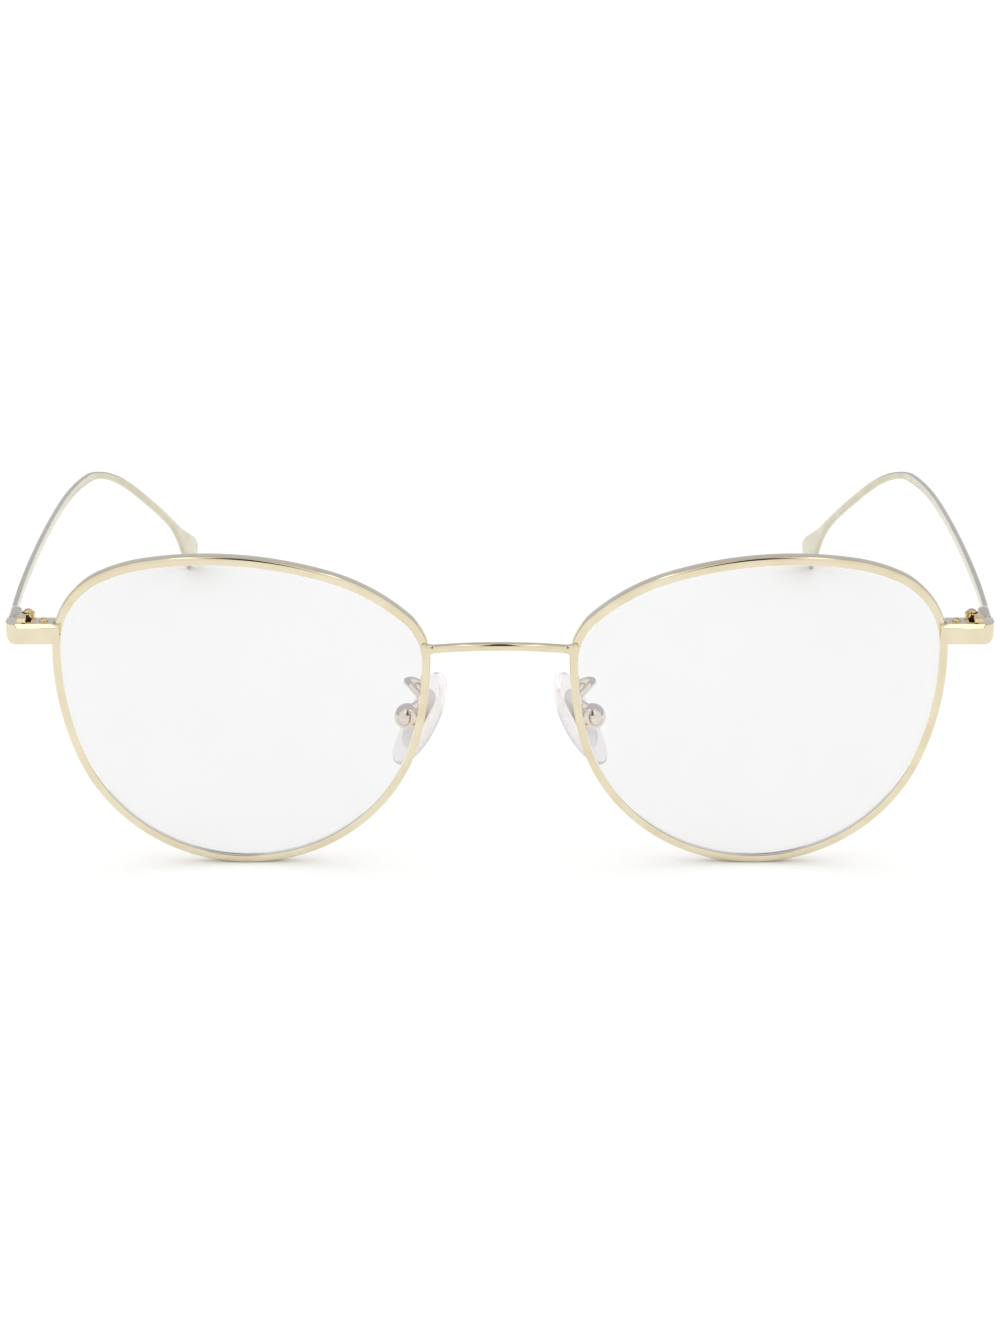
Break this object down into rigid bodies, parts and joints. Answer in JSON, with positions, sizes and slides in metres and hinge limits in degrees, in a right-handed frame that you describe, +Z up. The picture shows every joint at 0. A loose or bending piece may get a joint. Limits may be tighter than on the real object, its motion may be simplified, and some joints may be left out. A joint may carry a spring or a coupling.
{
  "type": "eyeglasses",
  "caption": "Full-rim eyeglasses in slim pale gold metal wire with clear round-square lenses, clear nose pads and folding temples that end in flattened tips.",
  "frame": {"origin": "on the ground under the middle of the open glasses", "axes": "+Z up, the front faces -Y, the temples run to +Y, the wearer's right is at -X"},
  "size_m": [0.136, 0.1385, 0.0451],
  "materials": {
    "rim_metal": "polished pale gold plating",
    "temple_metal": "polished pale gold plating",
    "hinge_metal": "bright pale gold plating",
    "screw_metal": "bright pale gold plating",
    "pad_metal": "satin pale gold plating",
    "lens": "clear, uncoated",
    "pad_silicone": "clear soft silicone"
  },
  "bodies": {
    "front": {"bridge": "rim_metal", "rim_right": "rim_metal", "lens_right": "lens", "endpiece_right": "rim_metal", "upper_lock_right": "rim_metal", "lower_lock_right": "rim_metal", "lock_screw_right": "screw_metal", "front_hinge_right": "hinge_metal", "hinge_screw_right": "screw_metal", "pad_arm_right": "pad_metal", "pad_box_right": "pad_metal", "pad_screw_right": "screw_metal", "rim_left": "rim_metal", "lens_left": "lens", "endpiece_left": "rim_metal", "upper_lock_left": "rim_metal", "lower_lock_left": "rim_metal", "lock_screw_left": "screw_metal", "front_hinge_left": "hinge_metal", "hinge_screw_left": "screw_metal", "pad_arm_left": "pad_metal", "pad_box_left": "pad_metal", "pad_screw_left": "screw_metal"},
    "temple_right": {"temple_right": "temple_metal", "temple_hinge_right": "hinge_metal"},
    "pad_right": {"nose_pad_right": "pad_silicone", "pad_core_right": "pad_metal"},
    "temple_left": {"temple_left": "temple_metal", "temple_hinge_left": "hinge_metal"},
    "pad_left": {"nose_pad_left": "pad_silicone", "pad_core_left": "pad_metal"}
  },
  "joints": [
    {"name": "temple_fold_right", "type": "hinge", "parent": "front", "child": "temple_right", "pos_m": [-0.064, -0.06401, 0.03372], "axis": [0, 0, -1], "range_deg": [0, 85]},
    {"name": "temple_fold_left", "type": "hinge", "parent": "front", "child": "temple_left", "pos_m": [0.064, -0.06401, 0.03372], "axis": [0, 0, 1], "range_deg": [0, 80]},
    {"name": "pad_rock_right", "type": "hinge", "parent": "front", "child": "pad_right", "pos_m": [-0.01274, -0.06122, 0.01979], "axis": [-0.4722, 0.848, 0.2406], "range_deg": [-10, 10]},
    {"name": "pad_rock_left", "type": "hinge", "parent": "front", "child": "pad_left", "pos_m": [0.01274, -0.06122, 0.01979], "axis": [0.4722, 0.848, 0.2406], "range_deg": [-10, 10]}
  ]
}
